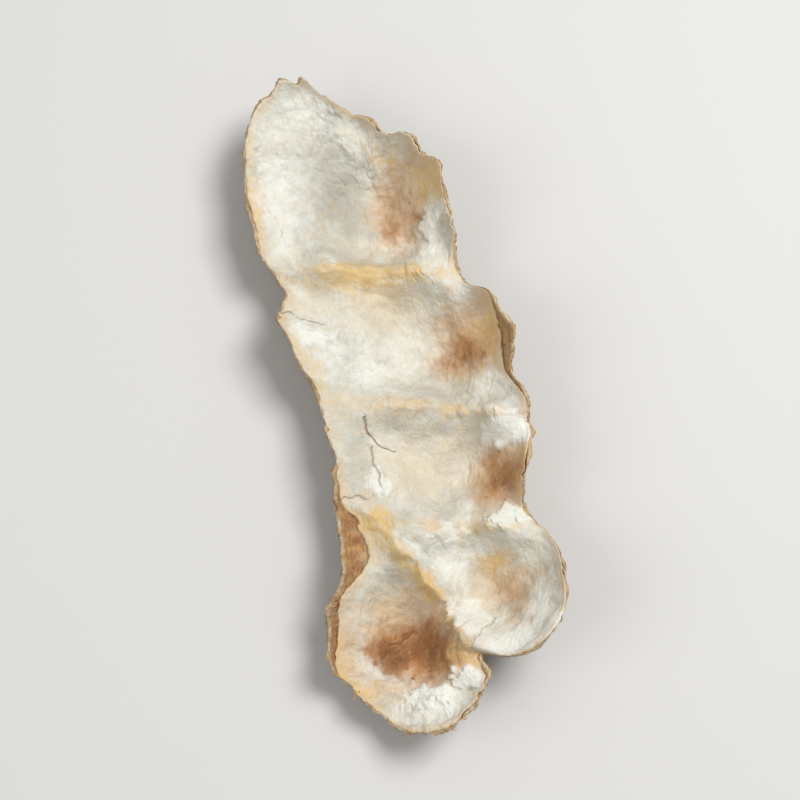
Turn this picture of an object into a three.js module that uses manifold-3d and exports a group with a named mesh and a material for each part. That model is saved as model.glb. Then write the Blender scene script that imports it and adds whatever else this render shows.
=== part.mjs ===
// One opened tamarind pod, lying on its back with its torn side up.
// Two layers make it: a lumpy brown husk, and the pale papery lining of its five seed hollows.
// Millimetres, +Z up. The origin is under the middle of the pod, on the surface that it lies on.
import * as THREE from "three";
import { mergeVertices } from "three/addons/utils/BufferGeometryUtils.js";
import Module from "manifold-3d";

// Thicknesses of the two layers, and the gap that keeps them two solids.
const HUSK_THICKNESS = 1.1;
const LINING_THICKNESS = 0.7;
const LAYER_GAP = 0.35;

// The wall turns up from the floor to an angle, in radians, at the torn edge, and rises in proportion to its
// reach. Both are larger towards the right, because the pod lies with its left side opened flatter.
const WALL_ANGLE = { mean: 1.05, rightward: 0.2 };
const WALL_RISE = { mean: 0.62, rightward: 0.22 };
const WALL_POWER = 1.1;

// Grid of each surface. The count across is odd, so that the rings close on one middle line.
const ROWS = 61;
const COLUMNS = 21;
const RINGS = (COLUMNS - 1) / 2;

// The torn edge seen from above, from the stalk end down: x and y of its left side, of the deepest line of
// the trough, and of its right side.
const STATIONS = [
  { left: [-17.8, 25.9], middle: [-4.2, 24.6], right: [4.4, 26.3] },
  { left: [-17.2, 21.6], middle: [-2.7, 21.2], right: [5.6, 22.8] },
  { left: [-15.9, 17.2], middle: [-1.2, 17.6], right: [6.3, 18.8] },
  { left: [-14.1, 13.8], middle: [0.2, 14.0], right: [6.9, 14.1] },
  { left: [-12.5, 11.3], middle: [2.0, 10.6], right: [10.3, 10.9] },
  { left: [-13.4, 8.4], middle: [3.2, 7.3], right: [12.2, 6.9] },
  { left: [-11.6, 4.1], middle: [4.2, 3.5], right: [12.8, 2.2] },
  { left: [-9.1, -0.3], middle: [5.6, -1.2], right: [14.7, -2.5] },
  { left: [-8.1, -3.8], middle: [6.2, -5.3], right: [14.1, -6.9] },
  { left: [-6.9, -7.8], middle: [6.6, -9.9], right: [13.4, -11.3] },
  { left: [-7.2, -11.9], middle: [6.9, -14.0], right: [15.0, -14.1] },
  { left: [-6.6, -16.3], middle: [8.4, -18.2], right: [17.8, -18.4] },
  { left: [-5.9, -20.3], middle: [7.4, -22.0], right: [17.5, -24.1] },
  { left: [-7.8, -24.1], middle: [4.4, -25.0], right: [13.4, -28.8] },
  { left: [-7.8, -27.8], middle: [2.2, -27.8], right: [9.1, -28.4] },
  { left: [-6.9, -30.6], middle: [1.3, -30.3], right: [9.7, -30.9] },
];

// The edge round each end, from the left of the nearest station to its right.
const STALK_END = [
  [-17.4, 29.8],
  [-15.9, 33.6],
  [-12.3, 36.6],
  [-7.9, 34.6],
  [-2.8, 31.9],
  [1.6, 29.4],
];
const TIP_END = [
  [-3.4, -33.8],
  [0.6, -36.6],
  [4.7, -36.9],
  [7.8, -34.4],
];

// Seed hollows: centre, half width across and along the pod, turn in degrees, and how far each sinks.
const HOLLOWS = [
  { centre: [-1.8, 22.6], across: 10.2, along: 9.2, turn: -20, sink: 2.6 },
  { centre: [4.4, 6.6], across: 10.0, along: 6.8, turn: -6, sink: 2.6 },
  { centre: [7.2, -7.8], across: 8.4, along: 5.8, turn: -6, sink: 2.5 },
  { centre: [11.4, -20.6], across: 6.6, along: 6.0, turn: -20, sink: 2.5 },
  { centre: [0.2, -25.6], across: 6.6, along: 7.2, turn: 25, sink: 2.7 },
];

// Walls between the hollows, each a line across the floor.
const SEPTA = [
  [[-14.1, 13.8], [-3.5, 15.1], [6.9, 14.2]],
  [[-9.0, -0.8], [2.8, -1.2], [14.4, -2.6]],
  [[-6.4, -13.6], [4.4, -15.0], [16.6, -14.6]],
  [[-4.2, -14.4], [2.4, -21.4], [9.1, -28.4]],
];
const SEPTUM_SWELL = { height: 1.4, width: 2.6 };
const SEPTUM_CREST = { height: 0.8, width: 1.9 };
const EDGE_DIP = { depth: 1.6, width: 4.0 };

// The floor is lifted by a little less than the hollows sink, so that the lowest lumps of the husk reach
// the surface below and are pressed flat there.
const FLOOR_LIFT = 2.05;

// Smooth waves over the plan, each with its size and its run along x and y. They stand in for chance.
const LUMPS = [
  { size: 0.3, x: 0.62, y: 0.41, start: 0.7 },
  { size: 0.22, x: -0.47, y: 0.83, start: 2.1 },
  { size: 0.14, x: 1.13, y: -0.71, start: 4.4 },
];
const EDGE_TEARS = [
  { size: 0.4, x: 0.35, y: 0.42, start: 0.3 },
  { size: 0.35, x: -0.9, y: 0.65, start: 1.9 },
  { size: 0.25, x: 1.1, y: -0.8, start: 5.2 },
];
const TEAR_SPREAD = 0.4;

// The lining stops short of the edge by this share of the wall, and by more where it has torn away.
const LINING_INSET = 0.05;
const BARE_EDGES = [
  { at: [12.6, 4.5], width: 5, inset: 0.1 },
  { at: [-6.4, -17.0], width: 4.5, inset: 0.2 },
  { at: [-8.4, -26.0], width: 4, inset: 0.08 },
  { at: [-17.2, 20.5], width: 4.5, inset: 0.05 },
];

const spline = (points) => new THREE.SplineCurve(points.map(([x, y]) => new THREE.Vector2(x, y)));

const first = STATIONS[0];
const last = STATIONS.at(-1);
const leftEdge = spline(STATIONS.map((s) => s.left));
const rightEdge = spline(STATIONS.map((s) => s.right));
const middleLine = spline(STATIONS.map((s) => s.middle));
const stalkEdge = spline([first.left, ...STALK_END, first.right]);
const tipEdge = spline([last.left, ...TIP_END, last.right]);

function waves(list, x, y) {
  return list.reduce((sum, w) => sum + w.size * Math.sin(w.x * x + w.y * y + w.start), 0);
}

function distanceToSegment(x, y, [ax, ay], [bx, by]) {
  const along = ((x - ax) * (bx - ax) + (y - ay) * (by - ay)) / ((bx - ax) ** 2 + (by - ay) ** 2);
  const t = THREE.MathUtils.clamp(along, 0, 1);
  return Math.hypot(x - ax - t * (bx - ax), y - ay - t * (by - ay));
}

function distanceToSeptum(x, y) {
  const stretches = SEPTA.flatMap(([a, b, c]) => [[a, b], [b, c]]);
  return Math.min(...stretches.map(([start, end]) => distanceToSegment(x, y, start, end)));
}

const bell = (distance, width) => Math.exp(-((distance / width) ** 2));

// How far the seed hollows sink the floor at a point of the plan.
function hollowDepth(x, y) {
  let depth = 0;
  for (const { centre, across, along, turn, sink } of HOLLOWS) {
    const angle = THREE.MathUtils.degToRad(turn);
    const dx = x - centre[0];
    const dy = y - centre[1];
    const acrossShare = (dx * Math.cos(angle) + dy * Math.sin(angle)) / across;
    const alongShare = (dy * Math.cos(angle) - dx * Math.sin(angle)) / along;
    const inside = Math.max(0, 1 - acrossShare ** 2 - alongShare ** 2);
    depth = Math.max(depth, sink * inside ** 1.2);
  }
  return depth;
}

// Where a grid place lies: the point of the edge and the point of the middle line that it lies between, and
// its share of the way out. Rows run straight across the pod. At each end the rings fan round the last
// middle point.
function ringPlace(row, column) {
  const lastRow = ROWS - 1;
  const lastColumn = COLUMNS - 1;
  const ring = Math.min(row, lastRow - row, column, lastColumn - column);
  const out = 1 - ring / RINGS;
  const atStalk = row < RINGS;
  if (atStalk || row > lastRow - RINGS) {
    const fromEnd = atStalk ? row : lastRow - row;
    const side = RINGS - ring;
    let steps = side + column - ring;
    if (column === ring) steps = RINGS - fromEnd;
    if (column === lastColumn - ring) steps = 3 * side + fromEnd - ring;
    const edge = (atStalk ? stalkEdge : tipEdge).getPoint(steps / (4 * side));
    return { edge, middle: middleLine.getPoint(atStalk ? 0 : 1), out };
  }
  const down = (row - RINGS) / (lastRow - 2 * RINGS);
  const edge = (column < RINGS ? leftEdge : rightEdge).getPoint(down);
  return { edge, middle: middleLine.getPoint(down), out };
}

// A point of the pod's wall, offset inwards from the husk's outside by a depth.
function wallPoint(row, column, { depth, crest, inset }) {
  const { edge, middle, out } = ringPlace(row, column);
  const outward = edge.clone().sub(middle);
  const reach = outward.length();
  outward.normalize();
  const share = out * (1 - inset(edge));
  const fullLean = WALL_ANGLE.mean + WALL_ANGLE.rightward * outward.x;
  const lean = share * fullLean;

  const tear = waves(EDGE_TEARS, edge.x, edge.y) * share ** 8;
  const planReach = (Math.sin(lean) / Math.sin(fullLean)) * reach + TEAR_SPREAD * tear;
  const x = middle.x + outward.x * planReach;
  const y = middle.y + outward.y * planReach;

  const toSeptum = distanceToSeptum(x, y);
  const rise = reach * (WALL_RISE.mean + WALL_RISE.rightward * outward.x);
  const edgeHeight = rise - EDGE_DIP.depth * bell(toSeptum, EDGE_DIP.width) * share ** 2;
  const wall = edgeHeight * ((1 - Math.cos(lean)) / (1 - Math.cos(fullLean))) ** WALL_POWER;
  const swell = SEPTUM_SWELL.height * bell(toSeptum, SEPTUM_SWELL.width);
  const ridge = crest * bell(toSeptum, SEPTUM_CREST.width);
  const floor = (swell + ridge - hollowDepth(x, y)) * (1 - share ** 4);
  const z = FLOOR_LIFT + wall + floor + waves(LUMPS, x, y) + tear;

  return new THREE.Vector3(
    x - outward.x * Math.sin(lean) * depth,
    y - outward.y * Math.sin(lean) * depth,
    z + Math.cos(lean) * depth,
  );
}

// A closed shell between an underside and a topside that share the grid.
function shellGeometry(underside, topside) {
  const positions = [];
  const faces = [];
  const place = (layer, row, column) => (layer * ROWS + row) * COLUMNS + column;
  [underside, topside].forEach((options) => {
    for (let row = 0; row < ROWS; row++) {
      for (let column = 0; column < COLUMNS; column++) {
        positions.push(...wallPoint(row, column, options).toArray());
      }
    }
  });
  for (let row = 0; row < ROWS - 1; row++) {
    for (let column = 0; column < COLUMNS - 1; column++) {
      const corners = (layer) => [
        place(layer, row, column),
        place(layer, row + 1, column),
        place(layer, row + 1, column + 1),
        place(layer, row, column + 1),
      ];
      const [a, b, c, d] = corners(1);
      const [e, f, g, h] = corners(0);
      faces.push(a, b, c, a, c, d);
      faces.push(e, g, f, e, h, g);
    }
  }
  edgeLoop().forEach(([row, column], index, loop) => {
    const [nextRow, nextColumn] = loop[(index + 1) % loop.length];
    const low = place(0, row, column);
    const lowNext = place(0, nextRow, nextColumn);
    const high = place(1, row, column);
    const highNext = place(1, nextRow, nextColumn);
    faces.push(low, lowNext, highNext, low, highNext, high);
  });
  const geometry = new THREE.BufferGeometry();
  geometry.setAttribute("position", new THREE.Float32BufferAttribute(positions, 3));
  geometry.setIndex(faces);
  return geometry;
}

// The grid places round the outside, in the order that faces the rim's strip outwards.
function edgeLoop() {
  const loop = [];
  for (let row = 0; row < ROWS - 1; row++) loop.push([row, 0]);
  for (let column = 0; column < COLUMNS - 1; column++) loop.push([ROWS - 1, column]);
  for (let row = ROWS - 1; row > 0; row--) loop.push([row, COLUMNS - 1]);
  for (let column = COLUMNS - 1; column > 0; column--) loop.push([0, column]);
  return loop;
}

const wasm = await Module();
wasm.setup();

function toSolid(geometry) {
  const bare = geometry.clone();
  bare.deleteAttribute("normal");
  bare.deleteAttribute("uv");
  const merged = mergeVertices(bare, 1e-4);
  const mesh = new wasm.Mesh({
    numProp: 3,
    vertProperties: merged.attributes.position.array,
    triVerts: new Uint32Array(merged.index.array),
  });
  return new wasm.Manifold(mesh);
}

function toGeometry(solid) {
  const { vertProperties, triVerts } = solid.getMesh();
  const geometry = new THREE.BufferGeometry();
  geometry.setAttribute("position", new THREE.BufferAttribute(new Float32Array(vertProperties), 3));
  geometry.setIndex(new THREE.BufferAttribute(new Uint32Array(triVerts), 1));
  geometry.computeVertexNormals();
  return geometry;
}

const noInset = () => 0;

// The share of the wall at an edge point that the lining leaves bare.
function liningInset(edge) {
  const bared = BARE_EDGES.map(({ at, width, inset }) => {
    return inset * bell(Math.hypot(edge.x - at[0], edge.y - at[1]), width);
  });
  return LINING_INSET + Math.max(...bared);
}

// The husk, cut level where its lowest lumps meet the surface below.
function huskGeometry() {
  const outside = { depth: 0, crest: 0, inset: noInset };
  const shell = toSolid(shellGeometry(outside, { ...outside, depth: HUSK_THICKNESS }));
  const below = new THREE.BoxGeometry(100, 100, 10).translate(0, 0, -5);
  return toGeometry(shell.subtract(toSolid(below)));
}

function liningGeometry() {
  const underside = { depth: HUSK_THICKNESS + LAYER_GAP, crest: 0, inset: liningInset };
  const topside = { ...underside, depth: underside.depth + LINING_THICKNESS, crest: SEPTUM_CREST.height };
  return shellGeometry(underside, topside);
}

const husk = new THREE.Mesh(
  huskGeometry(),
  new THREE.MeshStandardMaterial({ color: 0x8a5430, roughness: 0.85, metalness: 0 }),
);
husk.name = "husk";

const lining = new THREE.Mesh(
  liningGeometry(),
  new THREE.MeshStandardMaterial({ color: 0xe6e2d8, roughness: 0.75, metalness: 0 }),
);
lining.name = "lining";

const pod = new THREE.Group();
pod.add(husk, lining);

// The origin goes under the middle of the pod's box.
const box = new THREE.Box3().setFromObject(pod);
const centre = box.getCenter(new THREE.Vector3());
pod.position.set(-centre.x, -centre.y, 0);

export default pod;
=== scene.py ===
# %% [markdown]
# # An opened tamarind pod
# A dried tamarind pod is a brittle brown husk, swollen over each of its hollows and drawn in between them.
# Inside, a pale papery lining covers the hollows. This pod has been broken open along its seams and lies on
# its back, so the lining and the torn edge all round it face up.
#
# The imported solids are the measure for everything here. They are loaded first. The husk and the lining are
# then modelled where the solids of those names lie, and those two solids are hidden.

# %% Load the imported solids
import math

import bmesh
import bpy
import numpy as np
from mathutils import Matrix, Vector


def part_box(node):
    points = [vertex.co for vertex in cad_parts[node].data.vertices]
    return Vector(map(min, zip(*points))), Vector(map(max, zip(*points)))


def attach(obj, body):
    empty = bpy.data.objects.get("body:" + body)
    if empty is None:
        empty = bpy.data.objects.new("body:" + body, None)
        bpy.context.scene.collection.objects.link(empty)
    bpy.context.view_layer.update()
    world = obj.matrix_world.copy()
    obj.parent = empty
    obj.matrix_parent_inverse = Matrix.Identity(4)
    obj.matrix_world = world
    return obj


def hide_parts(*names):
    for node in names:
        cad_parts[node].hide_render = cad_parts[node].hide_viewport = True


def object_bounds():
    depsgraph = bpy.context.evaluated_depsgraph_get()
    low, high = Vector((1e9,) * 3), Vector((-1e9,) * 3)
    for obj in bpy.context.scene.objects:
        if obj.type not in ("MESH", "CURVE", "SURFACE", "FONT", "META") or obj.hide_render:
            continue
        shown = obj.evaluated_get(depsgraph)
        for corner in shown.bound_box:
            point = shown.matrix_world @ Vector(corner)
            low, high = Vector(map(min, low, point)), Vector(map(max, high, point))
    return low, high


def in_mm(box):
    """The corners of a box in metres as rounded millimetres, for printing."""
    return [[round(1000 * value, 1) for value in corner] for corner in box]


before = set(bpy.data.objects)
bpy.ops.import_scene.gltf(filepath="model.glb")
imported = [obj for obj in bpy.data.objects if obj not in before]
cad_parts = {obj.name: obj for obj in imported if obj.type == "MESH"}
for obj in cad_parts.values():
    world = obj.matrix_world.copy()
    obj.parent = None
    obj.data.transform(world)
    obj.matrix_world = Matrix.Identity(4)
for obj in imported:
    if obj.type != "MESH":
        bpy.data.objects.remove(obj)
CAD_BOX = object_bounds()
print("solids:", sorted(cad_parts), "box in mm:", in_mm(CAD_BOX))

# %% [markdown]
# ## Camera
# The pod is looked down on from a little off straight above. A long lens keeps the lobes in proportion, and
# the camera stands just close enough for the pod to fill most of the picture.

# %% Camera
VIEW_ELEVATION = math.radians(76)
LENS = 85
NEAREST_SEEN = 0.01
# The share of the picture's height that the pod takes up.
FILL = 0.83

low, high = (Vector(corner) for corner in CAD_BOX)
middle = (low + high) / 2
camera = bpy.data.objects.new("camera", bpy.data.cameras.new("camera"))
camera.data.lens = LENS
distance = (high.y - low.y) / FILL / (2 * math.tan(camera.data.angle / 2))
camera.location = middle + distance * Vector((0, -math.cos(VIEW_ELEVATION), math.sin(VIEW_ELEVATION)))
camera.rotation_euler = (math.pi / 2 - VIEW_ELEVATION, 0, 0)
camera.data.clip_start = NEAREST_SEEN
bpy.context.scene.collection.objects.link(camera)
bpy.context.scene.camera = camera
print("camera stands", round(1000 * distance), "mm away")

# %% [markdown]
# ## The outline
# The torn edge was read off as a few places on its left and right side, with the deepest line of the trough
# between them, and a short curve round each end. A smooth spline through them gives any point between. All
# shapes are worked out in millimetres, in the same frame as the solids, and turned into metres at the end.

# %% Outline of the torn edge
MM = 0.001
STATIONS = [
    ((-17.8, 25.9), (-4.2, 24.6), (4.4, 26.3)),
    ((-17.2, 21.6), (-2.7, 21.2), (5.6, 22.8)),
    ((-15.9, 17.2), (-1.2, 17.6), (6.3, 18.8)),
    ((-14.1, 13.8), (0.2, 14.0), (6.9, 14.1)),
    ((-12.5, 11.3), (2.0, 10.6), (10.3, 10.9)),
    ((-13.4, 8.4), (3.2, 7.3), (12.2, 6.9)),
    ((-11.6, 4.1), (4.2, 3.5), (12.8, 2.2)),
    ((-9.1, -0.3), (5.6, -1.2), (14.7, -2.5)),
    ((-8.1, -3.8), (6.2, -5.3), (14.1, -6.9)),
    ((-6.9, -7.8), (6.6, -9.9), (13.4, -11.3)),
    ((-7.2, -11.9), (6.9, -14.0), (15.0, -14.1)),
    ((-6.6, -16.3), (8.4, -18.2), (17.8, -18.4)),
    ((-5.9, -20.3), (7.4, -22.0), (17.5, -24.1)),
    ((-7.8, -24.1), (4.4, -25.0), (13.4, -28.8)),
    ((-7.8, -27.8), (2.2, -27.8), (9.1, -28.4)),
    ((-6.9, -30.6), (1.3, -30.3), (9.7, -30.9)),
]
STALK_END = [(-17.4, 29.8), (-15.9, 33.6), (-12.3, 36.6), (-7.9, 34.6), (-2.8, 31.9), (1.6, 29.4)]
TIP_END = [(-3.4, -33.8), (0.6, -36.6), (4.7, -36.9), (7.8, -34.4)]

LEFT_EDGE, MIDDLE_LINE, RIGHT_EDGE = ([station[k] for station in STATIONS] for k in range(3))
STALK_EDGE = [LEFT_EDGE[0], *STALK_END, RIGHT_EDGE[0]]
TIP_EDGE = [LEFT_EDGE[-1], *TIP_END, RIGHT_EDGE[-1]]


def spline(points, t):
    """The smooth curve through the points, at each t from 0 to 1."""
    points = np.array(points, float)
    last = len(points) - 1
    place = last * np.asarray(t, float)
    i = np.minimum(np.floor(place).astype(int), last)
    w = (place - i)[..., None]
    before, here = points[np.maximum(i - 1, 0)], points[i]
    after, beyond = points[np.minimum(i + 1, last)], points[np.minimum(i + 2, last)]
    leave, arrive = (after - before) / 2, (beyond - here) / 2
    cubic = 2 * here - 2 * after + leave + arrive
    square = -3 * here + 3 * after - 2 * leave - arrive
    return cubic * w**3 + square * w**2 + leave * w + here


# %% [markdown]
# ## A grid that fits the pod
# A sheet of squares has to follow the torn edge closely and still cover the forked end without a pole. Here
# the outermost ring of the grid is the edge itself, and each ring inside it lies a little nearer to the
# middle line. At both ends the rings fan round the last point of that line.

# %% Grid places
RINGS = 60
SIDE_ROWS = 250
ROWS = 2 * RINGS + SIDE_ROWS + 1
COLUMNS = 2 * RINGS + 1


def grid_places():
    """Edge point, middle point and share of the way out, for each row and column."""
    row, column = np.mgrid[0:ROWS, 0:COLUMNS]
    last_row, last_column = ROWS - 1, COLUMNS - 1
    ring = np.minimum.reduce([row, last_row - row, column, last_column - column])
    out = 1 - ring / RINGS
    down = np.clip((row - RINGS) / (last_row - 2 * RINGS), 0, 1)
    edge = np.where((column < RINGS)[..., None], spline(LEFT_EDGE, down), spline(RIGHT_EDGE, down))
    middles = spline(MIDDLE_LINE, down)

    from_end = np.minimum(row, last_row - row)
    side = np.maximum(RINGS - ring, 1)
    steps = side + column - ring
    steps = np.where(column == ring, RINGS - from_end, steps)
    steps = np.where(column == last_column - ring, 3 * side + from_end - ring, steps)
    round_end = np.clip(steps / (4 * side), 0, 1)
    at_stalk, at_tip = row < RINGS, row > last_row - RINGS
    edge = np.where(at_stalk[..., None], spline(STALK_EDGE, round_end), edge)
    edge = np.where(at_tip[..., None], spline(TIP_EDGE, round_end), edge)
    return edge, middles, out


EDGE, MIDDLES, OUT = grid_places()
print("grid of", ROWS, "by", COLUMNS, "places")

# %% [markdown]
# ## Noise
# Dried plant matter is never smooth and never regular. Gradient noise gives soft random bumps of a chosen
# size: each corner of a lattice holds a random slope, and the heights between them are blended. The slopes
# come from a seeded generator, so the pod comes out the same each time.


# %% Noise
def ease(value, start, end):
    """0 before start, 1 after end, and a smooth rise between."""
    t = np.clip((value - start) / (end - start), 0, 1)
    return t * t * (3 - 2 * t)


def bell(distance, width):
    """1 at no distance, fading out over about that width."""
    return np.exp(-((distance / width) ** 2))


def near_point(at, place, width):
    """1 at a place, fading out over about that width."""
    return bell(np.linalg.norm(at - np.array(place), axis=-1), width)


def noise(at, size, seed):
    """Smooth bumps from about -1 to 1 that are about `size` mm across."""
    slopes = np.random.default_rng(seed).uniform(0, 2 * np.pi, (256, 256))
    u, v = at[..., 0] / size, at[..., 1] / size
    i, j = np.floor(u).astype(int), np.floor(v).astype(int)
    u, v = u - i, v - j

    def corner(di, dj):
        slope = slopes[(i + di) % 256, (j + dj) % 256]
        return np.cos(slope) * (u - di) + np.sin(slope) * (v - dj)

    fade_u, fade_v = (t**3 * (t * (6 * t - 15) + 10) for t in (u, v))
    near = corner(0, 0) + fade_u * (corner(1, 0) - corner(0, 0))
    far = corner(0, 1) + fade_u * (corner(1, 1) - corner(0, 1))
    return 1.5 * (near + fade_v * (far - near))


def layered_noise(at, size, seed, layers=3):
    """Noise with finer and weaker bumps on top of the large ones."""
    return sum(noise(at, size / 2**k, seed + k) / 2**k for k in range(layers))


def ridges(at, size, seed, sharpness):
    """Thin winding lines, 1 along their middle, where layered noise crosses 0."""
    return (1 - np.abs(layered_noise(at, size, seed))) ** sharpness


def pushed(flat, size, seeds, kind=layered_noise):
    """A random push in the plan for each place, from two lots of noise."""
    return np.stack([kind(flat, size, seed) for seed in seeds], axis=-1)


sample = noise(EDGE, 3.0, 1)
print("noise runs from", sample.min().round(2), "to", sample.max().round(2))

# %% [markdown]
# ## Hollows, walls between them, and the sides
# The floor sinks in each hollow and rises in a low wall between two of them. The sides turn up from the floor
# in a quarter of an ellipse. These are the forms of the solids, with the same values, so that the modelled
# pieces stay where the solids are. Torn, ragged places along the edge are added to them by layers of noise.

# %% Main forms
# A pair is a height and a width in mm. In WALL_ANGLE and WALL_RISE it is the usual value and how much more
# there is on the right side.
HUSK_THICKNESS = 1.1
WALL_ANGLE = (1.05, 0.2)
WALL_RISE = (0.62, 0.22)
WALL_POWER = 1.1
HOLLOW_POWER = 1.2
HOLLOWS = [
    {"centre": (-1.8, 22.6), "across": 10.2, "along": 9.2, "turn": -20, "sink": 2.6},
    {"centre": (4.4, 6.6), "across": 10.0, "along": 6.8, "turn": -6, "sink": 2.6},
    {"centre": (7.2, -7.8), "across": 8.4, "along": 5.8, "turn": -6, "sink": 2.5},
    {"centre": (11.4, -20.6), "across": 6.6, "along": 6.0, "turn": -20, "sink": 2.5},
    {"centre": (0.2, -25.6), "across": 6.6, "along": 7.2, "turn": 25, "sink": 2.7},
]
SEPTA = [
    [(-14.1, 13.8), (-3.5, 15.1), (6.9, 14.2)],
    [(-9.0, -0.8), (2.8, -1.2), (14.4, -2.6)],
    [(-6.4, -13.6), (4.4, -15.0), (16.6, -14.6)],
    [(-4.2, -14.4), (2.4, -21.4), (9.1, -28.4)],
]
SEPTUM_SWELL = (1.4, 2.6)
SEPTUM_CREST = (0.8, 1.9)
EDGE_DIP = (1.6, 4.0)
FLOOR_LIFT = 2.05
LUMPS = [(0.3, 0.62, 0.41, 0.7), (0.22, -0.47, 0.83, 2.1), (0.14, 1.13, -0.71, 4.4)]
EDGE_TEARS = [(0.4, 0.35, 0.42, 0.3), (0.35, -0.9, 0.65, 1.9), (0.25, 1.1, -0.8, 5.2)]
TEAR_SPREAD = 0.4
TEAR_FADE, TOOTH_FADE = 8, 30
RAGS, TEETH = (0.35, 2.4), (0.22, 0.9)
RAG_LIFT = 0.6
FLAT_STRETCH = 1.25
# Each nick is a place on the edge, a width, and how far the edge is pushed out there.
NICKS = [
    ((-13.5, 36.0), 0.8, 0.9),
    ((-12.1, 36.6), 0.6, -1.0),
    ((-10.6, 36.2), 0.8, 0.9),
    ((-13.2, 9.4), 0.6, -1.0),
    ((-13.3, 7.4), 0.8, 0.9),
    ((-6.9, -9.0), 0.9, 0.8),
    ((-7.0, -12.2), 0.6, -0.8),
    ((14.6, -4.4), 0.9, 0.9),
    ((16.6, -14.9), 0.6, 0.9),
    ((-8.0, -23.6), 0.8, 0.9),
    ((-7.7, -28.8), 0.8, 0.8),
    ((0.4, -36.4), 0.5, 0.6),
    ((2.6, -37.0), 0.4, -0.5),
    ((7.2, -35.2), 0.6, -0.6),
    ((9.8, -30.2), 0.8, 0.8),
]


# %% Waves, lines and ovals
def waves(sizes, at):
    """A few waves over the plan. Each is a height, how steeply it runs in x and in y, and where it starts."""
    return sum(size * np.sin(x * at[..., 0] + y * at[..., 1] + start) for size, x, y, start in sizes)


def distance_to_line(at, points):
    """Distance in the plan to a line through the points."""
    nearest = np.full(at.shape[:-1], np.inf)
    for start, end in zip(np.array(points)[:-1], np.array(points)[1:]):
        along = np.clip(((at - start) @ (end - start)) / np.sum((end - start) ** 2), 0, 1)
        nearest = np.minimum(nearest, np.linalg.norm(at - start - along[..., None] * (end - start), axis=-1))
    return nearest


def turned(at, centre, half_widths, turn):
    """Each place across and along a turned oval, counted in its half widths from its centre."""
    angle = math.radians(turn)
    away = at - np.array(centre)
    across = (away[..., 0] * math.cos(angle) + away[..., 1] * math.sin(angle)) / half_widths[0]
    along = (away[..., 1] * math.cos(angle) - away[..., 0] * math.sin(angle)) / half_widths[1]
    return across, along


def hollow_depth(at):
    """How far the hollows sink the floor. Where two meet, the deeper one counts."""
    depth = np.zeros(at.shape[:-1])
    for hollow in HOLLOWS:
        across, along = turned(at, hollow["centre"], (hollow["across"], hollow["along"]), hollow["turn"])
        inside = np.maximum(0, 1 - across**2 - along**2)
        depth = np.maximum(depth, hollow["sink"] * inside**HOLLOW_POWER)
    return depth


# %% The husk's outside as a sheet
class Sheet:
    """The husk's outside over the grid, with what is needed to lay anything else on it.

    share is how far out each place lies, up to 1 at the torn edge. plan is the place seen from above, and
    flat is the place on the sheet rolled out flat, where noise isn't stretched by the steep sides."""

    def __init__(self, inset=0.0):
        outward = EDGE - MIDDLES
        self.reach = np.linalg.norm(outward, axis=-1)
        self.outward = outward / self.reach[..., None]
        self.share = OUT * (1 - inset)
        full_lean = WALL_ANGLE[0] + WALL_ANGLE[1] * self.outward[..., 0]
        lean = self.share * full_lean
        tear = waves(EDGE_TEARS, EDGE) * self.share**TEAR_FADE
        rags = RAGS[0] * layered_noise(EDGE, RAGS[1], 11) * self.share**TEAR_FADE
        nicks = sum(push * near_point(EDGE, at, width) for at, width, push in NICKS)
        teeth = TEETH[0] * layered_noise(EDGE, TEETH[1], 17) + nicks
        rags = rags + teeth * self.share**TOOTH_FADE
        plan_reach = np.sin(lean) / np.sin(full_lean) * self.reach + TEAR_SPREAD * (tear + rags)
        self.plan = MIDDLES + self.outward * plan_reach[..., None]
        self.flat = MIDDLES + self.outward * (FLAT_STRETCH * self.share * self.reach)[..., None]
        self.to_septum = np.minimum.reduce([distance_to_line(self.plan, septum) for septum in SEPTA])

        rise = self.reach * (WALL_RISE[0] + WALL_RISE[1] * self.outward[..., 0])
        height = rise - EDGE_DIP[0] * bell(self.to_septum, EDGE_DIP[1]) * self.share**2
        wall = height * ((1 - np.cos(lean)) / (1 - np.cos(full_lean))) ** WALL_POWER
        self.floor_part = 1 - self.share**4
        swell = SEPTUM_SWELL[0] * bell(self.to_septum, SEPTUM_SWELL[1])
        floor = (swell - hollow_depth(self.plan)) * self.floor_part
        self.height = FLOOR_LIFT + wall + floor + waves(LUMPS, self.plan) + tear + RAG_LIFT * rags
        inward = self.outward * -np.sin(lean)[..., None]
        self.inward = np.concatenate([inward, np.cos(lean)[..., None]], axis=-1)

    def points(self, depth):
        """Points at a depth in from the husk's outside, never below the surface that the pod lies on."""
        on_outside = np.concatenate([self.plan, self.height[..., None]], axis=-1)
        points = on_outside + self.inward * np.asarray(depth)[..., None]
        points[..., 2] = np.maximum(points[..., 2], 0)
        return points


husk_sheet = Sheet()
edge_heights = husk_sheet.height[OUT == 1]
print("torn edge stands", edge_heights.min().round(1), "to", edge_heights.max().round(1), "mm up")

# %% [markdown]
# ## From a grid to a closed mesh
# A piece with a real thickness needs two faces and a strip that joins them round the edge. The helper below
# makes that from two grids of points, and stores a few masks on the vertices, such as how near to the torn
# edge each one is. The materials read them later.

# %% Where the drawing lies in the frame
# The husk is drawn within these limits in the plan. In the frame, its box is centred on the origin.
box_low, box_high = (np.array(corner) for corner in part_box("husk"))
DRAWN_LOW, DRAWN_HIGH = np.array([-17.670, -37.014]), np.array([17.895, 36.404])
SHIFT = np.append((box_low + box_high)[:2] / 2 - (DRAWN_LOW + DRAWN_HIGH) / 2 * MM, 0)
print("frame shift in mm:", (SHIFT / MM).round(2))


def in_frame(points):
    """Millimetres of the drawing as metres of the frame."""
    return np.asarray(points) * MM + SHIFT


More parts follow.
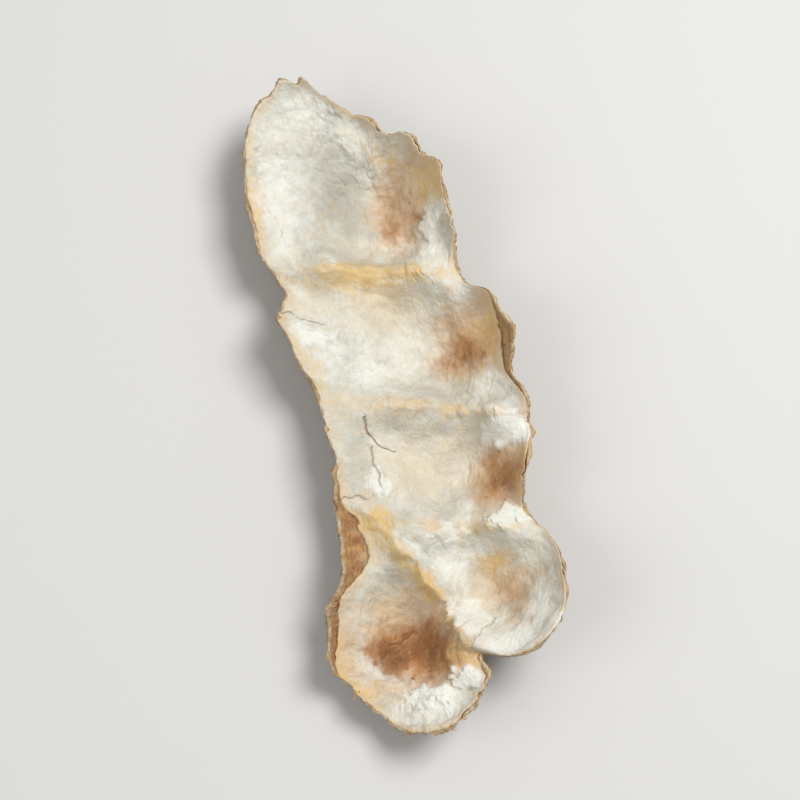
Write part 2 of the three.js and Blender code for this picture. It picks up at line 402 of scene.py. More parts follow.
# %% Closed shell from two grids
def grid_loop():
    """Numbers of the grid places along its border, once round."""
    place = np.arange(ROWS * COLUMNS).reshape(ROWS, COLUMNS)
    return np.concatenate([place[:-1, 0], place[-1, :-1], place[:0:-1, -1], place[0, :0:-1]])


def shell_faces():
    """Faces over the first grid, under the second one, and in a strip that joins their borders."""
    place = np.arange(ROWS * COLUMNS).reshape(ROWS, COLUMNS)
    a, b, c, d = place[:-1, :-1], place[1:, :-1], place[1:, 1:], place[:-1, 1:]
    top = np.stack([a, b, c, d], axis=-1).reshape(-1, 4)
    below = ROWS * COLUMNS
    under = top[:, ::-1] + below
    loop = grid_loop()
    after = np.roll(loop, -1)
    strip = np.stack([loop + below, after + below, after, loop], axis=-1)
    return np.concatenate([top, under, strip]).tolist()


def two_faces(first, second):
    """The values on both grids of a shell, one after the other."""
    return np.concatenate([first.ravel(), second.ravel()])


def make_piece(name, points, faces, masks):
    """A smooth mesh object in the frame, with a value for each mask on each vertex."""
    mesh = bpy.data.meshes.new(name)
    mesh.from_pydata(in_frame(points).tolist(), [], list(faces))
    for mask, values in masks.items():
        layer = mesh.attributes.new(mask, "FLOAT", "POINT")
        layer.data.foreach_set("value", np.asarray(values, np.float32).ravel())
    mesh.polygons.foreach_set("use_smooth", np.ones(len(mesh.polygons), bool))
    piece = bpy.data.objects.new(name, mesh)
    bpy.context.scene.collection.objects.link(piece)
    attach(piece, "root")
    print(name, "has", len(mesh.vertices), "vertices and", len(mesh.polygons), "faces")
    return piece


# %% [markdown]
# ## Husk
# The husk is thick and brittle under the hollows and thin at the torn edge. Its outside is leathery: soft
# dents, fine wrinkles that run mostly along the pod, and small pits. Its inside is covered by the lining
# nearly everywhere, and has the ridges of its fibres where it is bare. Sculpting by hand would give such a
# skin too, but noise that is stretched along the pod gives it evenly and in a few lines.

# %% Husk mesh
# A pair is a depth and a size in mm.
DENTS, WRINKLES, GRAINS, PITS = (0.24, 3.4), (0.3, 1.6), (0.07, 0.7), (0.14, 0.75)
THREADS, FUZZ = (0.12, 0.8), (0.05, 0.9)
HUSK_THINNING = 0.86
SKIN_SINK, THREAD_SINK = 0.12, 0.05


def husk_thickness(sheet):
    """Full under the hollows, and down to a ragged feather edge at the rim."""
    torn = 0.12 * ease(noise(EDGE, 2.2, 23), 0.0, 0.7)
    thinning = (HUSK_THINNING - torn) * ease(sheet.share, 0.5, 0.99)
    return HUSK_THICKNESS - thinning + 0.04 * noise(sheet.flat, 0.8, 21)


def husk_wrinkles(flat):
    """Depth in mm of the dents, wrinkles, grains and pits of the husk's outside."""
    dents = DENTS[0] * layered_noise(flat, DENTS[1], 31)
    wrinkles = WRINKLES[0] * ridges(flat * np.array([1.0, 0.45]), WRINKLES[1], 41, 4)
    grains = GRAINS[0] * layered_noise(flat, GRAINS[1], 55, 2)
    pits = PITS[0] * ease(noise(flat, PITS[1], 51), 0.45, 0.8)
    return dents - wrinkles + grains + pits + SKIN_SINK


def husk_piece():
    """The husk as a closed mesh, and its outside as a grid of points."""
    flat = husk_sheet.flat
    relief = husk_wrinkles(flat)
    outside = husk_sheet.points(relief)
    threads = THREADS[0] * ridges(flat * np.array([1.0, 0.22]), THREADS[1], 63, 2)
    fuzz = FUZZ[0] * layered_noise(flat, FUZZ[1], 61)
    inside = husk_sheet.points(husk_thickness(husk_sheet) + fuzz + threads - THREAD_SINK)
    points = np.concatenate([inside.reshape(-1, 3), outside.reshape(-1, 3)])
    rim = ease(husk_sheet.share, 0.955, 1.0)
    none, full = np.zeros(rim.shape), np.ones(rim.shape)
    masks = {
        "rim": two_faces(rim, rim),
        "outside": two_faces(none, full),
        "raised": two_faces(none, ease(-relief, -0.05, 0.2)),
    }
    return make_piece("pod_husk", points, shell_faces(), masks), outside


pod_husk, husk_outside = husk_piece()
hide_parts("husk")

# %% [markdown]
# ## Stains on the lining
# In the bottom of each hollow the pulp left a brown smudge, and round it the film is tan, golden or grey.
# Some
# marks also stand in for light: the grey in the dips and the dark beside the slanting wall are partly painted
# shade, and two cream marks are painted light on walls that lie in shade. No picture is used. Each smudge is
# one oval in a list: its place, its half widths across and along, its turn and its strength. Noise then frays
# them, and they are kept as masks on the lining's vertices, one for each colour.

# %% Marks
MARKS = {
    # The grey marks are partly the film's own grey and partly painted shade in the dips, most of all the
    # large one in the middle of the first hollow.
    "grey": [
        ((-7.6, 26.0), (4.0, 4.8), 15, 0.9), ((-8.6, 31.9), (1.0, 0.7), 0, 1.0),
        ((-5.5, 21.5), (3.4, 2.6), 0, 0.6), ((-11.2, 13.9), (2.6, 0.5), 20, 0.6),
        ((-2.4, 4.4), (0.9, 0.9), 0, 1.0), ((-6.8, 1.0), (1.4, 0.5), 20, 0.6),
        ((3.4, 1.4), (3.0, 1.6), 0, 0.25), ((-4.9, -7.2), (1.2, 3.2), 14, 0.55),
        ((3.6, -10.8), (3.6, 2.2), 0, 0.35), ((-1.8, -21.6), (3.0, 2.2), 20, 0.5),
        ((13.8, -22.8), (2.4, 2.4), 0, 0.4), ((6.4, -31.8), (2.2, 1.4), 30, 0.5),
        ((4.4, 9.4), (3.0, 1.4), 0, 0.35),
    ],
    # Painted light: the cream marks at (7.6, -4.4) and (4.8, 25.0) lighten walls that the lamp leaves in
    # shade.
    "cream": [
        ((-2.9, 11.0), (6.5, 2.6), 0, 0.9), ((-10.5, 10.2), (2.2, 1.1), 0, 0.8),
        ((0.8, -7.4), (5.8, 3.8), 0, 0.9), ((7.6, -4.4), (4.6, 1.5), -4, 0.6),
        ((-4.5, -1.0), (5.0, 1.6), 0, 0.7), ((9.0, -14.0), (5.0, 1.4), 0, 0.5),
        ((-4.0, 18.0), (4.0, 1.6), 0, 0.5), ((0.5, 29.0), (3.2, 1.2), -30, 0.6),
        ((4.8, 25.0), (2.4, 4.2), 15, 0.9), ((11.4, 7.6), (1.4, 3.6), 12, 0.6),
    ],
    "tan": [
        ((2.6, 25.4), (2.0, 2.6), 0, 0.4), ((0.4, 22.6), (4.2, 5.0), 20, 0.75),
        ((-1.2, -22.6), (3.2, 2.0), 20, 0.5), ((-0.3, -1.2), (1.1, 0.6), 0, 0.7),
        ((1.7, -1.2), (0.8, 0.6), 0, 0.8), ((4.7, -0.8), (1.1, 0.5), 0, 0.5),
        ((3.3, -14.4), (1.4, 0.9), 0, 0.7), ((7.8, 6.4), (4.0, 4.2), 0, 0.85),
        ((9.6, 8.2), (2.0, 3.2), 0, 0.6), ((11.4, -9.2), (3.2, 3.8), 0, 0.85),
        ((12.2, -20.2), (3.8, 2.6), 0, 0.75), ((1.2, -27.0), (7.4, 5.4), -8, 0.9),
        ((-6.4, -28.4), (1.2, 3.0), 10, 0.7), ((-1.6, -32.6), (4.4, 1.0), -32, 0.6),
        ((-4.6, -13.6), (1.4, 1.8), 0, 0.6), ((-16.4, 18.6), (1.0, 4.4), 0, 0.6),
        ((14.2, -24.2), (2.0, 1.8), 0, 0.5), ((-2.0, 12.0), (4.0, 1.2), 0, 0.3),
    ],
    "gold": [
        ((4.6, 25.0), (1.8, 3.6), 15, 0.65), ((-5.0, 13.9), (6.4, 1.5), 3, 1.0),
        ((2.6, 14.3), (3.8, 0.9), 0, 0.7), ((11.2, 7.4), (1.0, 3.6), 12, 0.8),
        ((14.0, -8.0), (0.9, 3.2), 0, 0.8), ((-3.1, -13.8), (1.2, 2.0), 0, 0.9),
        ((11.2, -18.0), (2.0, 0.9), 8, 0.9), ((-1.4, -17.4), (1.0, 2.8), 45, 0.9),
        ((1.9, -20.6), (1.1, 2.8), 45, 0.9), ((6.8, -28.6), (2.0, 1.8), 0, 1.0),
        ((5.4, -26.4), (1.4, 2.0), 40, 0.8), ((-7.2, -26.2), (0.8, 3.4), 4, 0.8),
        ((-0.6, 28.6), (3.4, 0.9), -32, 0.5), ((-5.2, -31.8), (3.6, 0.9), -40, 0.8),
        ((-16.9, 22.0), (0.8, 5.0), 4, 0.5), ((-9.6, 2.6), (0.7, 3.4), 28, 0.5),
    ],
    "brown": [
        ((0.4, 27.0), (2.2, 2.4), 0, 0.25), ((0.7, 22.4), (2.6, 3.3), 25, 0.55),
        ((-0.4, 20.4), (1.5, 1.7), 0, 0.7), ((3.6, 21.8), (0.9, 0.9), 0, 0.8),
        ((8.8, 5.8), (2.3, 2.3), 0, 0.95), ((7.0, 9.6), (2.6, 1.7), 0, 0.3),
        ((6.4, 4.6), (2.8, 1.6), 10, 0.45), ((12.0, -9.0), (2.0, 2.6), 0, 0.85),
        ((10.2, -10.8), (2.2, 1.8), 0, 0.4), ((12.4, -7.0), (1.7, 1.9), 0, 0.5),
        ((13.4, -21.0), (2.8, 2.0), 0, 0.3), ((14.6, -24.4), (1.6, 1.5), 0, 0.4),
        ((2.0, -28.0), (5.6, 3.5), -12, 1.0), ((-1.6, -27.6), (2.8, 1.8), 0, 1.0),
        ((3.8, -26.4), (2.6, 2.4), 30, 0.9),
    ],
    # The first two dark marks, in the last lobe beside the slanting wall, are partly dried pulp and partly
    # painted shade from that wall.
    "dark": [
        ((-1.2, -28.2), (2.6, 1.6), 0, 1.0), ((3.0, -27.4), (3.4, 2.2), -20, 0.85),
        ((8.9, 5.4), (1.1, 1.1), 0, 0.4), ((12.4, -9.2), (1.0, 1.4), 0, 0.4),
        ((3.7, 21.8), (0.6, 0.6), 0, 0.7), ((-0.2, 19.9), (0.9, 0.9), 0, 0.4),
    ],
    "white": [
        ((4.5, 21.6), (0.9, 1.6), 10, 1.0), ((5.0, 18.2), (0.8, 1.4), 0, 0.8),
        ((12.6, -4.0), (1.9, 1.7), 0, 1.0), ((13.9, -13.6), (2.2, 0.9), 15, 0.9),
        ((15.2, -26.0), (1.8, 2.2), -40, 1.0), ((7.0, -24.4), (2.4, 2.0), 0, 0.9),
        ((4.4, -33.8), (4.2, 1.6), 8, 1.0), ((9.2, -31.0), (1.4, 1.2), 0, 0.9),
        ((-10.4, 6.8), (2.0, 0.8), -10, 1.0), ((-3.4, -30.0), (2.6, 0.9), -35, 0.8),
        ((-14.6, 24.4), (2.2, 7.6), 6, 0.8), ((-3.4, 3.8), (7.0, 2.6), 8, 0.6),
        ((-10.6, 32.6), (3.0, 2.6), -20, 0.6), ((0.0, -16.6), (2.4, 1.8), 0, 0.6),
        ((4.8, -19.0), (2.8, 1.6), -35, 0.8), ((16.4, -24.4), (1.0, 3.2), 10, 0.9),
        ((13.4, -27.6), (2.6, 1.0), 20, 0.9),
    ],
}


def mark_masks(sheet):
    """For each colour, how strongly its marks cover each place of the lining."""
    at = sheet.plan + 0.75 * pushed(sheet.flat, 1.9, (181, 187))
    masks = {}
    for colour, marks in MARKS.items():
        bare = np.ones(sheet.share.shape)
        for centre, half_widths, turn, strength in marks:
            across, along = turned(at, centre, half_widths, turn)
            bare = bare * (1 - strength * np.exp(-((across**2 + along**2) ** 1.3)))
        masks[colour] = 1 - bare
    return masks


print("marks:", {colour: len(marks) for colour, marks in MARKS.items()})

# %% [markdown]
# ## Lining
# The lining is a film, torn close to the husk's edge, creased over the walls between the hollows and lifted
# in places where it has dried away from the husk. On the first wall it lies in a thick golden cord, and along
# the slanting wall between the two end lobes it stands up in a ragged step. A simulation of drying would be
# slow and hard to steer, so its height over the husk is a sum of simple parts instead: crests, the cord, the
# step, cracks with a lifted lip, loose plates, a crust, folds and creases.

# %% Where the lining is bare, cracked or thick
# Each bare edge is a place, a width, and the share of the side that the lining leaves bare.
BARE_EDGES = [
    ((12.4, 5.0), 4.8, 0.15),
    ((-6.4, -16.5), 4.4, 0.22),
    ((-8.4, -26.0), 4.0, 0.12),
    ((-16.6, 19.5), 3.0, 0.03),
    ((9.4, -30.0), 1.5, 0.08),
]
# A lip is the height in mm of the side that stands up: the left of the line, or the right where negative.
# dark is how strongly the crack's hairline of painted shade shows.
CRACKS = [
    {"line": [(-4.6, -2.4), (-4.1, -4.3), (-3.4, -5.2), (-1.2, -5.8)], "lip": 0.12, "dark": 0.65},
    {"line": [(-6.8, -11.8), (-5.4, -10.9), (-4.4, -11.4)], "lip": 0.5, "dark": 0.4},
    {"line": [(-14.6, 9.4), (-11.4, 8.7), (-9.4, 8.4)], "lip": -0.3, "dark": 0.5},
    {"line": [(1.2, -25.4), (-0.2, -27.0), (-2.4, -26.4)], "lip": 0.25, "dark": 0.5},
    {"line": [(11.2, -24.6), (10.4, -26.4), (9.6, -28.2)], "lip": 0.35, "dark": 0.4},
]
BRANCHES = [
    {"line": [(-3.9, -5.6), (-3.7, -7.8), (-3.0, -10.0)], "lip": 0.4, "dark": 0.45},
]
GOLDEN_CORD = [(-11.2, 13.4), (-4.5, 14.0), (4.6, 14.2)]
# Each rolled edge is a place and a width, and each crumbly patch a centre and its two half widths.
ROLLED_EDGES = [
    ((15.6, -27.0), 4.5),
    ((4.0, -36.5), 4.5),
    ((-16.6, 25.0), 6.0),
    ((6.6, 14.6), 2.5),
    ((14.4, -3.6), 2.2),
]
CRUMBLY = [
    ((4.5, -14.6), 8.5, 2.6),
    ((7.6, -24.0), 3.6, 4.0),
    ((12.4, -4.0), 2.6, 2.4),
    ((4.0, -33.4), 5.0, 2.2),
]
# Each flake is a centre, its two half widths and its turn.
FLAKES = [
    ((13.0, -4.0), (2.7, 1.9), 15),
    ((13.4, -13.4), (3.0, 1.1), 18),
    ((8.2, -24.6), (3.3, 2.2), -48),
    ((8.6, -31.0), (1.8, 1.1), 10),
    ((3.6, -33.4), (3.8, 1.4), 12),
    ((4.7, 20.8), (0.9, 2.2), 5),
    ((-10.0, 6.8), (2.4, 0.9), -12),
    ((-3.2, -9.4), (1.0, 2.2), 20),
    ((5.4, -15.2), (2.6, 1.0), 0),
]
print(len(CRACKS) + len(BRANCHES), "cracks,", len(FLAKES), "loose plates and", len(CRUMBLY), "crusts")


# %% Edge of the lining, and distance from a crack
def lining_inset():
    """The share of the side at each edge point that the lining leaves bare."""
    bared = [inset * near_point(EDGE, at, width) for at, width, inset in BARE_EDGES]
    ragged = 0.012 * layered_noise(EDGE, 3.5, 71) + 0.012 * layered_noise(EDGE, 0.9, 81)
    notches = 0.05 * ease(noise(EDGE, 1.6, 85), 0.5, 0.8)
    return np.maximum.reduce(bared) + ragged + notches


def side_of_line(at, points):
    """Distance from a line through the points, negative to the right of it, and how far past its ends."""
    points = np.array(points)
    nearest = np.full(at.shape[:-1], np.inf)
    side = np.zeros(at.shape[:-1])
    for start, end in zip(points[:-1], points[1:]):
        run = end - start
        along = np.clip(((at - start) @ run) / (run @ run), 0, 1)
        away = at - start - along[..., None] * run
        distance = np.linalg.norm(away, axis=-1)
        left = np.sign(run[0] * (at - start)[..., 1] - run[1] * (at - start)[..., 0])
        closer = distance < nearest
        side, nearest = np.where(closer, left * distance, side), np.where(closer, distance, nearest)
    before = (at - points[0]) @ (points[0] - points[1]) / np.linalg.norm(points[0] - points[1])
    after = (at - points[-1]) @ (points[-1] - points[-2]) / np.linalg.norm(points[-1] - points[-2])
    return side, np.maximum(0, np.maximum(before, after))


# %% Parts of the lining's height
# GROOVE, CORD and ROLL are a height in mm and a width, which for the roll is a share of the way out.
SLANTING_WALL = SEPTA[3]
STEP_HEIGHT, STEP_SLOPE, STEP_WIDTH = 1.1, 2.6, 3.5
GROOVE = (0.16, 0.22)
LIP_WIDTH = 1.1
CORD = (0.55, 0.8)
ROLL = (0.5, 0.05)
ROLL_PLACE = 0.945
FAR_OFF = 9.0


def step_height(sheet):
    """The ragged step that the lining makes over the slanting wall, and how far each place is beside it."""
    start, bend, end = (np.array(point) for point in SLANTING_WALL)
    normal = np.array([start[1] - end[1], end[0] - start[0]]) / np.linalg.norm(end - start)
    beside = (sheet.plan - bend) @ normal + 0.8 * layered_noise(sheet.flat, 2.2, 101)
    shelf = ease(beside, -0.25, 0.15) * np.exp(-np.maximum(beside, 0) / STEP_SLOPE)
    return STEP_HEIGHT * shelf * bell(distance_to_line(sheet.plan, SLANTING_WALL), STEP_WIDTH), beside


def crack_height(sheet, lines):
    """A groove with one lifted lip along each crack, the side of the nearest crack, and how dark its painted
    shade is.
    """
    wander = 0.35 * noise(sheet.flat, 1.5, 131) + 0.12 * noise(sheet.flat, 0.6, 133)
    height, dark = np.zeros(sheet.share.shape), np.zeros(sheet.share.shape)
    nearest = np.full(sheet.share.shape, FAR_OFF)
    for crack in lines:
        side, past = side_of_line(sheet.plan, crack["line"])
        near = ease(np.abs(side), 2.2, 0.4) * ease(past, 0.9, 0.0)
        side = side + wander * near
        lip = abs(crack["lip"]) * ease(side * np.sign(crack["lip"]), -0.1, 0.1)
        height += (lip * np.exp(-np.abs(side) / LIP_WIDTH) - GROOVE[0] * bell(side, GROOVE[1])) * near
        closer = np.abs(side) < np.abs(nearest)
        nearest = np.where(closer, side, nearest)
        dark = np.where(closer, crack["dark"] * ease(past, 0.4, 0.0), dark)
    return height, nearest, dark


def flaked(sheet):
    """1 on the plates of film that have come loose, with a sharp ragged outline."""
    at = sheet.plan + 0.9 * pushed(sheet.flat, 1.8, (191, 197))
    inside = np.zeros(sheet.share.shape)
    for centre, half_widths, turn in FLAKES:
        inside = np.maximum(inside, 1 - np.hypot(*turned(at, centre, half_widths, turn)))
    return ease(inside, 0.0, 0.12)


def crumble(sheet):
    """How high the rough white crust of dried film stands, and where it lies."""
    where = np.zeros(sheet.share.shape)
    for centre, across, along in CRUMBLY:
        away = (sheet.plan - np.array(centre)) / np.array([across, along])
        where = np.maximum(where, bell(np.linalg.norm(away, axis=-1), 1.0))
    where = where * ease(noise(sheet.flat, 3.2, 161), -0.5, 0.5)
    lumps = 0.4 * layered_noise(sheet.flat, 2.4, 163, 2) ** 2 + 0.04 * noise(sheet.flat, 0.6, 167)
    return where * (0.12 + lumps), where


def cord_height(sheet):
    """The thick cord of dried film on the wall between the first two hollows."""
    wavy = sheet.plan + 0.3 * pushed(sheet.flat, 1.8, (97, 99), noise)
    uneven = np.clip(0.8 + 0.7 * noise(sheet.flat, 2.0, 93), 0.2, 1.2)
    return CORD[0] * uneven * bell(distance_to_line(wavy, GOLDEN_CORD), CORD[1])


def edge_roll():
    """The thick rounded rim where the lining has curled in at the torn edge."""
    near = np.maximum.reduce([near_point(EDGE, at, width) for at, width in ROLLED_EDGES])
    near = near * ease(noise(EDGE, 3.0, 171), -0.7, 0.2)
    return ROLL[0] * near * bell(OUT - ROLL_PLACE, ROLL[1])


# %% Everything that stands on the lining
# A pair is a height and a size in mm, and the rest are millimetres.
FOLDS, HUMPS, CREASES = (0.24, 2.6), (0.28, 4.6), (0.22, 2.7)
VEIN_LINES, GRAIN = (0.07, 1.7), (0.045, 0.6)
PLATE_THICKNESS, CHIP_DEPTH = 0.3, 0.12
FILM_GAP, FILM_LIFT = 0.02, 0.4
FILM_IN_HOLLOWS, FILM_THINNING, THINNEST_FILM = 0.95, 0.82, 0.1


def lining_relief(sheet):
    """Height in mm of everything that stands on the lining, and masks of where it lies."""
    flat = sheet.flat
    wandering = sheet.to_septum + 0.6 * noise(flat, 2.6, 91)
    crest = SEPTUM_CREST[0] * bell(sheet.to_septum, SEPTUM_CREST[1])
    crest = crest + 0.45 * bell(wandering, 0.45) * np.clip(0.7 + 0.8 * noise(flat, 3.0, 95), 0, 1)
    step, beside = step_height(sheet)
    cracks, crack_side, crack_dark = crack_height(sheet, CRACKS)
    branches, branch_side, branch_dark = crack_height(sheet, BRANCHES)
    crust, crusted = crumble(sheet)
    flakes = flaked(sheet)
    folds = FOLDS[0] * layered_noise(flat * np.array([0.5, 1.1]), FOLDS[1], 111)
    humps = HUMPS[0] * layered_noise(flat, HUMPS[1], 121)
    creased = ease(noise(flat, 6.0, 127), -0.1, 0.4)
    creases = -CREASES[0] * (1 - np.abs(noise(flat, CREASES[1], 125))) ** 9 * creased
    veins = VEIN_LINES[0] * ridges(flat * np.array([1.0, 0.6]), VEIN_LINES[1], 135, 8)
    grain = GRAIN[0] * layered_noise(flat, GRAIN[1], 129)
    chips = ease(noise(flat, 1.5, 141) + 0.5 * noise(flat, 0.5, 143), 0.62, 0.7)
    standing = (crest + step + crust + cord_height(sheet)) * sheet.floor_part
    height = standing + folds + humps + creases + veins + grain + cracks + branches
    height = height + PLATE_THICKNESS * flakes - CHIP_DEPTH * chips
    masks = {
        "crest": bell(wandering, 0.75) * sheet.floor_part,
        "step": bell(beside + 0.15, 0.5) * bell(distance_to_line(sheet.plan, SLANTING_WALL), 2.5),
        "crack_side": crack_side,
        "crack_dark": crack_dark,
        "branch_side": branch_side,
        "branch_dark": branch_dark,
        "flake": flakes,
        "chip": chips,
        "crust": crusted,
        # sunk marks where the folds and humps dip; the finish greys the film there as painted shade.
        "sunk": ease(-(folds + humps), 0.0, 0.35),
    }
    return height, masks


# %% Lining mesh
def lining_piece():
    """The lining as a closed mesh, the sheet that it lies on, and its top as a grid of points."""
    sheet = Sheet(lining_inset())
    near_edge = ease(OUT, 0.86, 1.0)
    lift = near_edge * FILM_LIFT * ease(noise(EDGE, 5.0, 151), 0.4, 0.9)
    underside = husk_thickness(sheet) + FILM_GAP + lift
    thickness = FILM_IN_HOLLOWS - FILM_THINNING * ease(sheet.share, 0.45, 0.97)
    relief, masks = lining_relief(sheet)
    film = np.maximum(thickness + relief * (1 - 0.85 * near_edge), THINNEST_FILM)
    top = sheet.points(underside + film + edge_roll())
    under = sheet.points(underside)
    points = np.concatenate([top.reshape(-1, 3), under.reshape(-1, 3)])
    masks["rim"] = ease(OUT, 0.965, 1.0)
    masks["border"] = ease(OUT, 0.86, 1.0) * ease(noise(EDGE, 4.0, 175), -0.9, 0.5)
    masks |= mark_masks(sheet)
    both = {name: two_faces(mask, mask) for name, mask in masks.items()}
    print("lining is", film.min().round(1), "to", film.max().round(1), "mm thick, with its crests and folds")
    return make_piece("pod_lining", points, shell_faces(), both), sheet, top


pod_lining, lining_sheet, lining_top = lining_piece()
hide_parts("lining")

# %% [markdown]
# ## Fibres
# Tough straw-coloured strands run along the outside of a pod, and where the husk has torn, thin ones peel
# away from its edge. Hair curves would be lost on export, so each strand is a thin tapered tube that follows
# a path over the husk's outside. All of them are one mesh.

# %% Fibre tubes
FIBRE_SIDES = 6
FIBRE_UP = [0.13, 0.27, 0.95]


def tube(path, radius, taper=0.25):
    """Vertices and faces of a tube along a path, thinner towards its ends."""
    path = np.asarray(path, float)
    ahead = np.gradient(path, axis=0)
    ahead /= np.linalg.norm(ahead, axis=1, keepdims=True)
    side = np.cross(ahead, FIBRE_UP)
    side /= np.linalg.norm(side, axis=1, keepdims=True)
    up = np.cross(side, ahead)
    along = np.linspace(0, 1, len(path))
    radii = radius * (taper + (1 - taper) * np.minimum(1, 4 * np.minimum(along, 1 - along)))
    angle = np.linspace(0, 2 * np.pi, FIBRE_SIDES, endpoint=False)
    ring = np.cos(angle)[None, :, None] * side[:, None] + np.sin(angle)[None, :, None] * up[:, None]
    points = (path[:, None] + radii[:, None, None] * ring).reshape(-1, 3)
    place = np.arange(len(points)).reshape(len(path), FIBRE_SIDES)
    beside = np.roll(place, -1, axis=1)
    faces = np.stack([place[:-1], beside[:-1], beside[1:], place[1:]], axis=-1).reshape(-1, 4).tolist()
    return points, faces + [place[0, ::-1].tolist(), place[-1].tolist()]


def join_parts(parts):
    """One list of vertices and one of faces from those of many small parts."""
    points, faces, start = [], [], 0
    for part_points, part_faces in parts:
        points.append(part_points)
        faces += [[start + corner for corner in face] for face in part_faces]
        start += len(part_points)
    return np.concatenate(points), faces


def on_grid(grid, row, column):
    """Points of a grid between its places."""
    row, column = np.clip(row, 0, ROWS - 1.001), np.clip(column, 0, COLUMNS - 1.001)
    i, j = np.floor(row).astype(int), np.floor(column).astype(int)
    u, v = (row - i)[..., None], (column - j)[..., None]
    upper = grid[i, j] * (1 - v) + grid[i, j + 1] * v
    lower = grid[i + 1, j] * (1 - v) + grid[i + 1, j + 1] * v
    return upper * (1 - u) + lower * u


# %% Strands on the husk
# Strands run at these shares of the way out to the left (-1) and right (1) edge. Whiskers come in groups: the
# first and last place on the border, and how many leave it there.
STRAND_PLACES = {-1: (0.42, 0.58, 0.74, 0.9), 1: (0.46, 0.62, 0.78, 0.93)}
STRANDS_EACH = 2
STRAND_RADII = (0.05, 0.1)
STRAND_LOWEST = 0.25
WHISKERS = [(90, 240, 1), (300, 371, 2), (371, 491, 4)]
WHISKER_RADII = (0.03, 0.06)
WHISKER_POINTS = 12
EDGE_MIDDLE_HEIGHT = 6.0


def long_strands(rng):
    """Strands along both flanks of the husk, partly sunk in it."""
    tubes = []
    places = [(side, share) for side, shares in STRAND_PLACES.items() for share in shares]
    for side, share in np.repeat(places, STRANDS_EACH, axis=0):
        start = rng.uniform(8, ROWS - 130)
        rows = np.arange(start, min(start + rng.uniform(50, 150), ROWS - 10), 2.0)
        wander = np.cumsum(rng.normal(0, 0.2, len(rows)))
        columns = RINGS + side * RINGS * (share + rng.uniform(-0.06, 0.06)) + wander
        path = on_grid(husk_outside, rows, np.clip(columns, 1, COLUMNS - 2))
        path[:, 2] = np.maximum(path[:, 2], STRAND_LOWEST)
        tubes.append(tube(path, rng.uniform(*STRAND_RADII)))
    return tubes


def whiskers(rng):
    """Thin fibres that leave the torn edge at a slant."""
    loop = grid_loop()
    rim = husk_outside.reshape(-1, 3)[loop]
    middles = MIDDLES.reshape(-1, 2)[loop]
    middle_line = np.column_stack([middles, np.full(len(middles), EDGE_MIDDLE_HEIGHT)])
    tubes = []
    for first, last, count in WHISKERS:
        for start in rng.integers(first, last, count):
            places = (start + np.arange(WHISKER_POINTS)) % len(loop)
            t = np.linspace(0, 1, WHISKER_POINTS)[:, None]
            away = rim[places] - middle_line[places]
            away /= np.linalg.norm(away, axis=1, keepdims=True)
            reach = rng.uniform(0.3, 1.0) * t**1.6
            lift = np.array([0, 0, rng.uniform(-0.5, 0.4)]) * t**1.5
            path = rim[places] + away * (reach - 0.08) + lift
            tubes.append(tube(path, rng.uniform(*WHISKER_RADII), taper=0.4))
    return tubes


rng = np.random.default_rng(7)
fibre_points, fibre_faces = join_parts(long_strands(rng) + whiskers(rng))
pod_fibres = make_piece("pod_fibres", fibre_points, fibre_faces, {})

# %% [markdown]
# ## Crumbs
# Small scraps of pulp stick in the brown smudges, and flakes of the film lie on its rough parts. Each is a
# little ball with its surface pushed in and out at random, half sunk in the lining.

# %% Crumbs
# The limits of a crumb's width, breadth and height, as shares of its size.
CRUMB_SHAPE = [(0.6, 1.3), (0.6, 1.3), (0.35, 0.6)]
CRUMB_ROUGHNESS = 0.25
PULP_COUNT, PULP_SIZES = 40, (0.08, 0.2)
FLAKE_COUNT, FLAKE_SIZES = 20, (0.06, 0.15)


def ball():
    """Vertices and faces of a plain ball with 80 faces."""
    shape = bmesh.new()
    bmesh.ops.create_icosphere(shape, subdivisions=2, radius=1.0)
    points = np.array([vertex.co for vertex in shape.verts])
    faces = [[vertex.index for vertex in face.verts] for face in shape.faces]
    shape.free()
    return points, faces


def crumbs(name, chance, count, sizes, rng):
    """Crumbs of those sizes, in mm, at places of the lining drawn with the given chance."""
    ball_points, ball_faces = ball()
    weight = (chance * (OUT < 0.9)).ravel()
    places = rng.choice(weight.size, count, p=weight / weight.sum())
    parts = []
    for centre in lining_top.reshape(-1, 3)[places]:
        size = rng.uniform(*sizes) * np.array([rng.uniform(*limits) for limits in CRUMB_SHAPE])
        rough = 1 + CRUMB_ROUGHNESS * rng.uniform(-1, 1, (len(ball_points), 1))
        parts.append((centre + ball_points * rough * size, ball_faces))
    points, faces = join_parts(parts)
    return make_piece(name, points, faces, {})


lining_marks = mark_masks(lining_sheet)
crusted_places = crumble(lining_sheet)[1]
pulp_crumbs = crumbs("pulp_crumbs", lining_marks["brown"] ** 3, PULP_COUNT, PULP_SIZES, rng)
film_flakes = crumbs("film_flakes", crusted_places**2, FLAKE_COUNT, FLAKE_SIZES, rng)

# %% [markdown]
# ## Finishes
# Every finish here is made of nodes, so it needs no picture. What both layers share is a node group with
# named inputs, placed in each material with its own values: clouds of a second colour, a border broken into
# flecks, thin wandering lines, and fine relief for the light to catch.

# %% Helpers for nodes
def connect(tree, value, socket):
    """Links another node's output to the socket, or sets a plain value on it."""
    if isinstance(value, bpy.types.NodeSocket):
        tree.links.new(value, socket)
    else:
        socket.default_value = value


